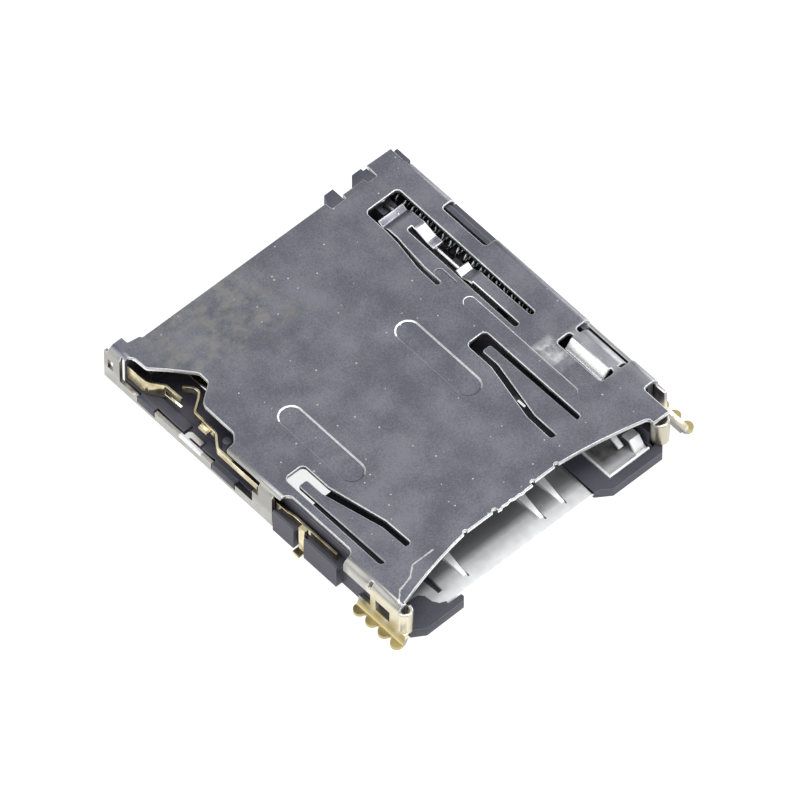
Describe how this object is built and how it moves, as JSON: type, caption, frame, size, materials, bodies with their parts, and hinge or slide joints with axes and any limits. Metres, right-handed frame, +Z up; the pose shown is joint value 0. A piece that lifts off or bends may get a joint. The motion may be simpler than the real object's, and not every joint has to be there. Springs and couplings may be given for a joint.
{
  "type": "memory card socket",
  "caption": "Low surface-mount socket for a small flat memory card: stamped metal cover over a plastic base, sprung contacts, a detection switch and a push-push slider",
  "frame": {"origin": "centre of the outline at board level: the underside of the feet is at z = 0", "axes": "+Z points up from the board, +Y is the way the card goes in, X runs across the card slot"},
  "size_m": [0.0146, 0.0164, 0.0019],
  "materials": {
    "shell": "satin stainless sheet",
    "housing": "moulded high-temperature plastic",
    "base_plate": "bright stainless sheet",
    "contacts": "gold-plated copper alloy",
    "detect": "gold-plated copper alloy",
    "slider": "moulded plastic",
    "lock_spring": "spring steel",
    "coil_spring": "steel wire",
    "cam_pin": "steel wire"
  },
  "bodies": {
    "base": {"contact_1": "contacts", "contact_2": "contacts", "contact_3": "contacts", "contact_4": "contacts", "contact_5": "contacts", "contact_6": "contacts", "contact_7": "contacts", "contact_8": "contacts", "shell": "shell", "housing": "housing", "base_plate": "base_plate", "detect_fixed": "detect", "coil_spring": "coil_spring"},
    "slider": {"slider": "slider", "lock_spring": "lock_spring"},
    "pin": {"cam_pin": "cam_pin"},
    "leaf": {"detect_leaf": "detect"}
  },
  "joints": [
    {"name": "slider_slide", "type": "slide", "parent": "base", "child": "slider", "axis": [0, 1, 0], "range_m": [0, 0.0031], "stiffness_N_per_m": 300, "springref_m": -0.0015, "deforming": ["coil_spring"]},
    {"name": "pin_swing", "type": "hinge", "parent": "base", "child": "pin", "pos_m": [0.00511, 0.0063, 0.0014], "axis": [0, 0, 1], "range_deg": [-2.68, 0]},
    {"name": "leaf_flex", "type": "hinge", "parent": "base", "child": "leaf", "pos_m": [-0.00668, 0, 0.00115], "axis": [0, 0, 1], "range_deg": [0, 6], "stiffness_Nm_per_rad": 0.002, "deforming": ["detect_leaf"]}
  ],
  "couplings": [
    {"joint": "pin_swing", "follows": "slider_slide", "rad_per_m": -14.954}
  ]
}
